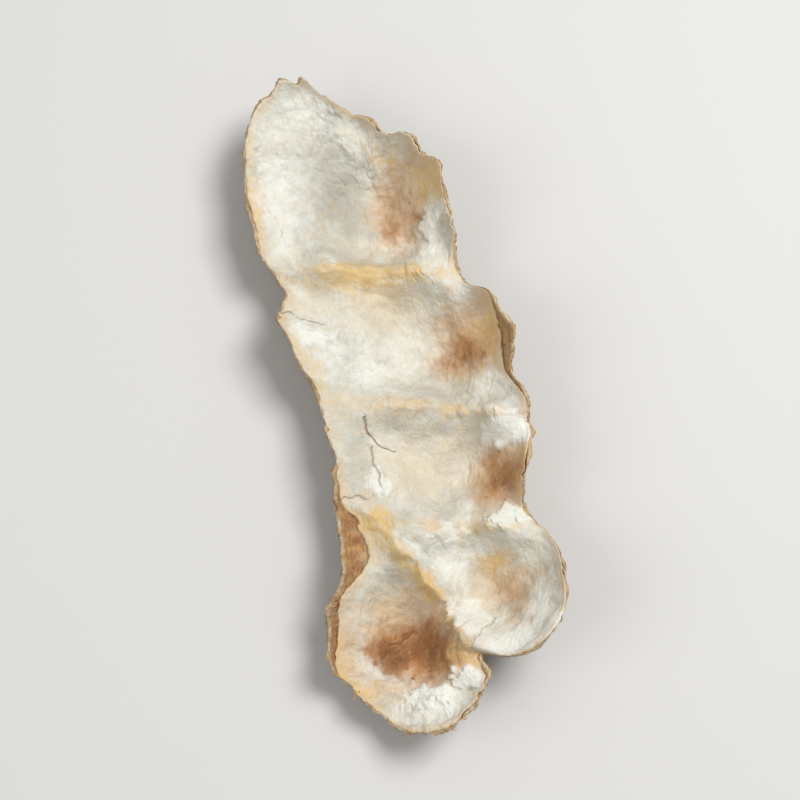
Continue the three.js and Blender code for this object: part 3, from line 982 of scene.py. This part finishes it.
def new_group(name, inputs, outputs):
    """An empty shader group. inputs are (name, kind, default), with kind Float, Vector or Color."""
    group = bpy.data.node_groups.new(name, "ShaderNodeTree")
    for label, kind, default in inputs:
        socket = group.interface.new_socket(name=label, in_out="INPUT", socket_type="NodeSocket" + kind)
        socket.default_value = default
    for label, kind in outputs:
        group.interface.new_socket(name=label, in_out="OUTPUT", socket_type="NodeSocket" + kind)
    return group, group.nodes.new("NodeGroupInput"), group.nodes.new("NodeGroupOutput")


def add(tree, kind, inputs, **settings):
    """A node of that kind. inputs gives its sockets, by name or number, a value or another node's output."""
    node = tree.nodes.new("ShaderNode" + kind)
    for key, value in settings.items():
        setattr(node, key, value)
    for key, value in inputs.items():
        connect(tree, value, node.inputs[key])
    return node


def mix(tree, share, first, second):
    """The first colour, with that share of the second."""
    return add(tree, "Mix", {0: share, 6: first, 7: second}, data_type="RGBA").outputs[2]


def maths(tree, operation, *values, clamp=False):
    """The result of that operation on the values, kept from 0 to 1 where clamp is true."""
    return add(tree, "Math", dict(enumerate(values)), operation=operation, use_clamp=clamp).outputs[0]


def times(tree, first, second):
    return maths(tree, "MULTIPLY", first, second)


def object_place(tree):
    """The place in the object's own coordinates, which stay the same from every side and on export."""
    return add(tree, "TexCoord", {}).outputs["Object"]


def scale_for(tree, size):
    """The scale of a texture with bumps of that size in mm, on an object that is measured in metres."""
    return maths(tree, "DIVIDE", 1000.0, size)


def noise_node(tree, vector, scale, detail=6.0, roughness=0.6, distortion=0.0):
    inputs = {"Vector": vector, "Scale": scale, "Detail": detail}
    inputs |= {"Roughness": roughness, "Distortion": distortion}
    return add(tree, "TexNoise", inputs).outputs["Fac"]


# %% Patches group
def make_patches():
    """Where one colour gives way to another: soft clouds with a chosen size, amount and sharpness."""
    inputs = [("Size mm", "Float", 3.0), ("Amount", "Float", 0.5), ("Sharpness", "Float", 3.0)]
    inputs.append(("Seed", "Vector", (0, 0, 0)))
    group, start, end = new_group("patches", inputs, [("Mask", "Float")])
    place = object_place(group)
    place = add(group, "VectorMath", {0: place, 1: start.outputs["Seed"]}, operation="ADD").outputs[0]
    scale = scale_for(group, start.outputs["Size mm"])
    cloud = noise_node(group, place, scale, detail=6.0, roughness=0.62, distortion=0.3)
    centred = maths(group, "SUBTRACT", cloud, 0.5)
    sharpness, amount = start.outputs["Sharpness"], start.outputs["Amount"]
    mask = maths(group, "MULTIPLY_ADD", centred, sharpness, amount, clamp=True)
    group.links.new(mask, end.inputs["Mask"])
    return group


PATCHES = make_patches()


def placed(tree, group, **values):
    """A node of that group with the given values on its sockets. Its first output is returned."""
    node = add(tree, "Group", {})
    node.node_tree = group
    for label, value in values.items():
        connect(tree, value, node.inputs[label.replace("_", " ")])
    return node.outputs[0]


def patches(tree, size, amount, sharpness, seed):
    """Clouds of a size in mm. A larger amount covers more, and each seed moves them elsewhere."""
    return placed(tree, PATCHES, Size_mm=size, Amount=amount, Sharpness=sharpness, Seed=(seed, 0, 0))


# %% Fray group
def make_fray():
    """Breaks up the soft border of a mask into flecks, and leaves its bare and its full parts alone."""
    inputs = [("Mask in", "Float", 0.0), ("Size mm", "Float", 1.0), ("Strength", "Float", 3.0)]
    group, start, end = new_group("fray", inputs, [("Mask", "Float")])
    place = object_place(group)
    scale = scale_for(group, start.outputs["Size mm"])
    flecks = maths(group, "SUBTRACT", noise_node(group, place, scale, detail=7.0, roughness=0.7), 0.5)
    mask = start.outputs["Mask in"]
    border = times(group, mask, maths(group, "SUBTRACT", 1.0, mask))
    border = times(group, times(group, border, 4.0), start.outputs["Strength"])
    group.links.new(maths(group, "MULTIPLY_ADD", flecks, border, mask, clamp=True), end.inputs["Mask"])
    return group


FRAY = make_fray()


# %% Veins group
def make_veins():
    """Thin wandering lines, for threads in the film and for the painted shade in the husk's wrinkles."""
    inputs = [("Size mm", "Float", 2.0), ("Thinness", "Float", 12.0), ("Stretch", "Vector", (1, 0.5, 1))]
    group, start, end = new_group("veins", inputs, [("Mask", "Float")])
    place = object_place(group)
    place = add(group, "VectorMath", {0: place, 1: start.outputs["Stretch"]}, operation="MULTIPLY").outputs[0]
    scale = scale_for(group, start.outputs["Size mm"])
    cloud = noise_node(group, place, scale, detail=3.0, roughness=0.55, distortion=0.8)
    away = maths(group, "ABSOLUTE", maths(group, "SUBTRACT", cloud, 0.5))
    faded = times(group, away, start.outputs["Thinness"])
    line = maths(group, "SUBTRACT", 1.0, faded, clamp=True)
    group.links.new(line, end.inputs["Mask"])
    return group


VEINS = make_veins()


# %% Relief group
def make_relief():
    """Fine height for a Bump node: fibres along the pod, with pits and grain over them."""
    inputs = [("Grain mm", "Float", 0.4), ("Fibre mm", "Float", 0.3)]
    inputs += [("Fibres", "Float", 0.5), ("Pits", "Float", 0.3)]
    group, start, end = new_group("relief", inputs, [("Height", "Float")])
    place = object_place(group)
    grain_scale = scale_for(group, start.outputs["Grain mm"])
    grain = noise_node(group, place, grain_scale, detail=6.0, roughness=0.65)
    stretched = add(group, "Mapping", {"Vector": place, "Scale": (1.0, 0.12, 1.0)}).outputs[0]
    fibre_scale = scale_for(group, start.outputs["Fibre mm"])
    fibre = noise_node(group, stretched, fibre_scale, detail=3.0, roughness=0.5, distortion=0.4)
    pit = add(group, "TexVoronoi", {"Vector": place, "Scale": times(group, grain_scale, 0.6)})
    pit_depth = maths(group, "MINIMUM", pit.outputs["Distance"], 0.35)
    height = maths(group, "MULTIPLY_ADD", fibre, start.outputs["Fibres"], grain)
    height = maths(group, "MULTIPLY_ADD", pit_depth, start.outputs["Pits"], height)
    group.links.new(height, end.inputs["Height"])
    return group


RELIEF = make_relief()


def bumped(tree, height, strength, depth):
    """The surface's direction with that height on it. depth is in mm."""
    return add(tree, "Bump", {"Strength": strength, "Distance": depth * MM, "Height": height}).outputs[0]


def relief(tree, grain, fibre, fibres, pits):
    """Height of fine relief: the sizes of grain and fibres in mm, then how strong fibres and pits are."""
    return placed(tree, RELIEF, Grain_mm=grain, Fibre_mm=fibre, Fibres=fibres, Pits=pits)


def new_material(name):
    """An empty material, its nodes, and its main shader."""
    material = bpy.data.materials.new(name)
    material.use_nodes = True
    return material, material.node_tree, material.node_tree.nodes["Principled BSDF"]


def mask_of(tree, name):
    """The mask of that name, which the mesh holds on its vertices."""
    return add(tree, "Attribute", {}, attribute_name=name).outputs["Fac"]


print("node groups:", [group.name for group in (PATCHES, FRAY, VEINS, RELIEF)])

# %% [markdown]
# ### Husk finish
# The outside is red-brown to orange-tan, paler and golden where the thin skin has scaled off, with painted
# shade in thin dark lines for its wrinkles and a whitish bloom on top. The torn edge shows the straw-coloured
# fibre inside.

# %% Husk material
HUSK_BROWN = (0.25, 0.095, 0.034, 1)
HUSK_TAN = (0.46, 0.23, 0.09, 1)
HUSK_GOLD = (0.56, 0.34, 0.11, 1)
HUSK_DARK = (0.085, 0.028, 0.011, 1)
TORN_TAN = (0.56, 0.35, 0.15, 1)
TORN_PALE = (0.74, 0.62, 0.42, 1)
BLOOM = (0.62, 0.52, 0.39, 1)
HUSK_RELIEF = 0.34


def husk_outside_colour(tree):
    """Brown with tan and golden patches, wrinkle lines of painted shade, scaled places and a pale bloom."""
    colour = mix(tree, patches(tree, 7.0, 0.32, 3.4, 1.0), HUSK_BROWN, HUSK_TAN)
    colour = mix(tree, patches(tree, 4.2, -0.2, 4.0, 7.0), colour, HUSK_GOLD)
    colour = mix(tree, patches(tree, 2.2, 0.05, 3.5, 2.0), colour, HUSK_DARK)
    # Painted shade: thin dark lines where the wrinkles would lie in shade.
    wrinkles = placed(tree, VEINS, Size_mm=2.4, Thinness=14.0, Stretch=(1.0, 0.4, 1.0))
    colour = mix(tree, times(tree, wrinkles, 0.6), colour, HUSK_DARK)
    scaled = times(tree, mask_of(tree, "raised"), patches(tree, 1.6, 0.2, 4.0, 5.0))
    colour = mix(tree, scaled, colour, HUSK_TAN)
    colour = mix(tree, patches(tree, 1.1, -0.5, 5.0, 3.0), colour, BLOOM)
    return mix(tree, times(tree, patches(tree, 3.6, -0.1, 3.0, 8.0), 0.22), colour, BLOOM)


def husk_inside_colour(tree):
    """Tan fibre with brown threads, for the bare bands beside the lining."""
    colour = mix(tree, patches(tree, 2.2, 0.5, 5.0, 4.0), HUSK_TAN, TORN_TAN)
    colour = mix(tree, patches(tree, 3.4, 0.1, 4.0, 24.0), colour, HUSK_BROWN)
    threads = placed(tree, VEINS, Size_mm=1.0, Thinness=9.0, Stretch=(1.0, 0.18, 1.0))
    colour = mix(tree, times(tree, threads, 0.6), colour, HUSK_BROWN)
    colour = mix(tree, patches(tree, 1.2, -0.1, 5.0, 25.0), colour, HUSK_GOLD)
    colour = mix(tree, times(tree, patches(tree, 1.8, 0.1, 4.0, 26.0), 0.5), colour, BLOOM)
    return mix(tree, patches(tree, 0.8, -0.3, 4.0, 9.0), colour, HUSK_DARK)


def husk_material():
    """The inside's colour, the outside's over it, and straw-coloured fibre along the torn edge."""
    material, tree, shader = new_material("dry_husk")
    colour = mix(tree, mask_of(tree, "outside"), husk_inside_colour(tree), husk_outside_colour(tree))
    edge_colour = mix(tree, patches(tree, 1.6, 0.5, 4.0, 10.0), TORN_TAN, TORN_PALE)
    torn = placed(tree, FRAY, Mask_in=mask_of(tree, "rim"), Size_mm=0.7, Strength=3.0)
    colour = mix(tree, times(tree, torn, patches(tree, 2.2, 0.85, 3.0, 6.0)), colour, edge_colour)
    tree.links.new(colour, shader.inputs["Base Color"])
    roughness = maths(tree, "MULTIPLY_ADD", patches(tree, 2.0, 0.5, 3.0, 11.0), 0.25, 0.58)
    tree.links.new(roughness, shader.inputs["Roughness"])
    height = relief(tree, 0.45, 0.35, 1.2, 0.8)
    tree.links.new(bumped(tree, height, 1.0, HUSK_RELIEF), shader.inputs["Normal"])
    return material


pod_husk.data.materials.append(husk_material())

# %% [markdown]
# ### Lining finish
# The film is chalky white where it is dry and thick, and greyer in the dents, partly where it lies thin and
# partly as painted shade. The marks colour it one after another, frayed at their borders; a few grey and dark
# ones are partly painted shade, and two cream ones are painted light. It has worn through to tan along the
# crests, the chips and the torn edge, and each crack is a hairline of brown painted shade.

# %% Lining material
LINING_WHITE = (0.73, 0.745, 0.69, 1)
LINING_BRIGHT = (0.85, 0.86, 0.80, 1)
# LINING_GREY is the film's own grey, and also the painted shade in its dents and dips.
LINING_GREY = (0.42, 0.41, 0.355, 1)
LINING_CREAM = (0.74, 0.64, 0.48, 1)
BORDER_TAN = (0.70, 0.52, 0.30, 1)
PULP_TAN = (0.71, 0.50, 0.28, 1)
PULP_GOLD = (0.74, 0.50, 0.185, 1)
PULP_BROWN = (0.47, 0.215, 0.07, 1)
PULP_DARK = (0.22, 0.085, 0.026, 1)
CRACK_SHADE_BROWN = (0.20, 0.10, 0.05, 1)
SPECKLE_GREY = (0.34, 0.29, 0.22, 1)
CRACK_HALF_WIDTH = 0.07
LINING_RELIEF = 0.16
LINING_ROUGHNESS = 0.72


def marked_colour(tree, colour):
    """The colour with each kind of mark over it, from faint to strong. Each has a colour, the size and
    strength of the flecks along its border, and the most that it covers."""
    finishes = [
        ("grey", LINING_GREY, 1.6, 1.6, 0.9),
        ("cream", LINING_CREAM, 1.8, 1.4, 0.75),
        ("tan", PULP_TAN, 1.3, 1.8, 0.85),
        ("gold", PULP_GOLD, 0.8, 3.0, 0.88),
        ("brown", PULP_BROWN, 1.6, 1.6, 1.0),
        ("dark", PULP_DARK, 1.2, 2.4, 0.9),
        ("white", LINING_BRIGHT, 0.9, 2.4, 0.85),
    ]
    for name, paint, size, strength, most in finishes:
        mask = placed(tree, FRAY, Mask_in=mask_of(tree, name), Size_mm=size, Strength=strength)
        colour = mix(tree, times(tree, mask, most), colour, paint)
    deep = times(tree, mask_of(tree, "brown"), patches(tree, 2.0, 0.1, 3.0, 15.0))
    return mix(tree, deep, colour, PULP_DARK)


def crack_line(tree, side_mask, dark_mask):
    """1 on a hairline of painted shade along each crack, from the distance that the vertices hold in mm."""
    waver = maths(tree, "SUBTRACT", patches(tree, 0.8, 0.5, 1.0, 16.0), 0.5)
    side = maths(tree, "MULTIPLY_ADD", waver, 0.3, mask_of(tree, side_mask))
    share = maths(tree, "DIVIDE", maths(tree, "ABSOLUTE", side), CRACK_HALF_WIDTH)
    return times(tree, maths(tree, "SUBTRACT", 1.3, share, clamp=True), mask_of(tree, dark_mask))


def lining_material():
    """White film, then what covers it: dips in painted shade, threads, crust, border, marks, plates, wear,
    specks, cracks as hairlines of painted shade.
    """
    material, tree, shader = new_material("papery_lining")
    colour = mix(tree, patches(tree, 4.5, 0.25, 3.0, 12.0), LINING_WHITE, LINING_GREY)
    # Painted shade: the film is greyer where the folds and humps dip.
    colour = mix(tree, times(tree, mask_of(tree, "sunk"), 0.32), colour, LINING_GREY)
    colour = mix(tree, patches(tree, 1.1, -0.05, 3.0, 13.0), colour, LINING_CREAM)
    threads = placed(tree, VEINS, Size_mm=2.1, Thinness=16.0, Stretch=(1.0, 0.6, 1.0))
    colour = mix(tree, times(tree, threads, 0.28), colour, PULP_TAN)
    colour = mix(tree, times(tree, mask_of(tree, "crust"), 0.7), colour, LINING_BRIGHT)
    border = placed(tree, FRAY, Mask_in=mask_of(tree, "border"), Size_mm=1.2, Strength=1.5)
    colour = mix(tree, times(tree, border, 0.6), colour, BORDER_TAN)
    colour = marked_colour(tree, colour)
    colour = mix(tree, times(tree, mask_of(tree, "flake"), 0.75), colour, LINING_BRIGHT)
    worn = patches(tree, 1.3, 0.42, 4.5, 14.0)
    wear = [("crest", PULP_GOLD, 0.6), ("step", PULP_GOLD, 0.9)]
    wear += [("chip", PULP_TAN, 0.5), ("rim", BORDER_TAN, 0.8)]
    for name, paint, most in wear:
        share = times(tree, times(tree, mask_of(tree, name), worn), most)
        colour = mix(tree, share, colour, paint)
    colour = mix(tree, patches(tree, 0.5, -0.62, 5.0, 17.0), colour, PULP_BROWN)
    speckle = times(tree, patches(tree, 0.42, 0.35, 3.0, 30.0), 0.16)
    colour = mix(tree, speckle, colour, SPECKLE_GREY)
    # Painted shade: a brown hairline along each crack and branch.
    line = crack_line(tree, "crack_side", "crack_dark")
    line = maths(tree, "MAXIMUM", line, crack_line(tree, "branch_side", "branch_dark"))
    colour = mix(tree, line, colour, CRACK_SHADE_BROWN)
    tree.links.new(colour, shader.inputs["Base Color"])
    height = maths(tree, "MULTIPLY_ADD", threads, 0.15, relief(tree, 0.5, 0.4, 0.6, 0.35))
    height = maths(tree, "MULTIPLY_ADD", line, -1.2, height)
    tree.links.new(bumped(tree, height, 1.0, LINING_RELIEF), shader.inputs["Normal"])
    shader.inputs["Roughness"].default_value = LINING_ROUGHNESS
    return material


pod_lining.data.materials.append(lining_material())

# %% [markdown]
# ### Fibre and crumb finishes
# The strands are straw-coloured and a little glossier than the husk, with darker stretches. Crumbs of pulp
# are dark and slightly sticky, and the flakes are the film's own white with a warm tinge.

# %% Fibre and crumb materials
FIBRE_STRAW = (0.54, 0.34, 0.15, 1)


def two_tone_material(name, first, second, size, seed, roughness):
    """A dry material with clouds of the second colour, of that size in mm, over the first."""
    material, tree, shader = new_material(name)
    tree.links.new(mix(tree, patches(tree, size, 0.4, 3.0, seed), first, second), shader.inputs["Base Color"])
    tree.links.new(bumped(tree, relief(tree, 0.3, 0.2, 0.8, 0.2), 0.6, 0.08), shader.inputs["Normal"])
    shader.inputs["Roughness"].default_value = roughness
    return material


# Each is a piece, a name, two colours, the size in mm and the seed of their clouds, and a roughness.
SMALL_FINISHES = [
    (pod_fibres, "straw_fibre", HUSK_TAN, FIBRE_STRAW, 2.5, 21.0, 0.6),
    (pulp_crumbs, "dried_pulp", PULP_BROWN, PULP_DARK, 0.8, 22.0, 0.45),
    (film_flakes, "film_flake", LINING_BRIGHT, LINING_CREAM, 1.5, 23.0, 0.75),
]
for piece, *finish in SMALL_FINISHES:
    piece.data.materials.append(two_tone_material(*finish))
print("materials:", [material.name for material in bpy.data.materials])

# %% [markdown]
# ## Floor and light
# The floor is a plain pale sheet. A large soft lamp stands high to the upper right, so that the steep right
# side of each hollow lies in shade and the flat left side is bright. A weaker lamp fills from the left, and
# an even pale sky keeps the shadows open.

# %% Floor and light
FLOOR_COLOUR = (0.66, 0.66, 0.65, 1)
FLOOR_HALF_WIDTH = 3.0
FLOOR_ROUGHNESS = 0.9
# Each lamp has a place, a width, a power and a colour.
LIGHTS = [
    ("key", (0.17, 0.09, 0.35), 0.17, 1.36, (1.0, 0.995, 0.975)),
    ("fill", (-0.28, -0.10, 0.28), 0.25, 0.42, (1.0, 0.985, 0.96)),
]
SKY = (1.0, 0.985, 0.96, 1)
SKY_STRENGTH = 0.32


def make_floor():
    mesh = bpy.data.meshes.new("floor")
    signs = [(-1, -1), (1, -1), (1, 1), (-1, 1)]
    corners = [(x * FLOOR_HALF_WIDTH, y * FLOOR_HALF_WIDTH, 0) for x, y in signs]
    mesh.from_pydata(corners, [], [(0, 1, 2, 3)])
    floor = bpy.data.objects.new("floor", mesh)
    bpy.context.scene.collection.objects.link(floor)
    material, tree, shader = new_material("pale_floor")
    shader.inputs["Base Color"].default_value = FLOOR_COLOUR
    shader.inputs["Roughness"].default_value = FLOOR_ROUGHNESS
    mesh.materials.append(material)


make_floor()
for name, place, size, power, colour in LIGHTS:
    lamp = bpy.data.lights.new(name, "AREA")
    lamp.size, lamp.energy, lamp.color = size, power, colour
    light = bpy.data.objects.new(name, lamp)
    light.location = place
    light.rotation_euler = (middle - light.location).to_track_quat("-Z", "Y").to_euler()
    bpy.context.scene.collection.objects.link(light)

world = bpy.data.worlds.new("sky")
world.use_nodes = True
world.node_tree.nodes["Background"].inputs["Color"].default_value = SKY
world.node_tree.nodes["Background"].inputs["Strength"].default_value = SKY_STRENGTH
bpy.context.scene.world = world
bpy.context.scene.view_settings.view_transform = "Standard"
print("lights:", [name for name, *_ in LIGHTS])
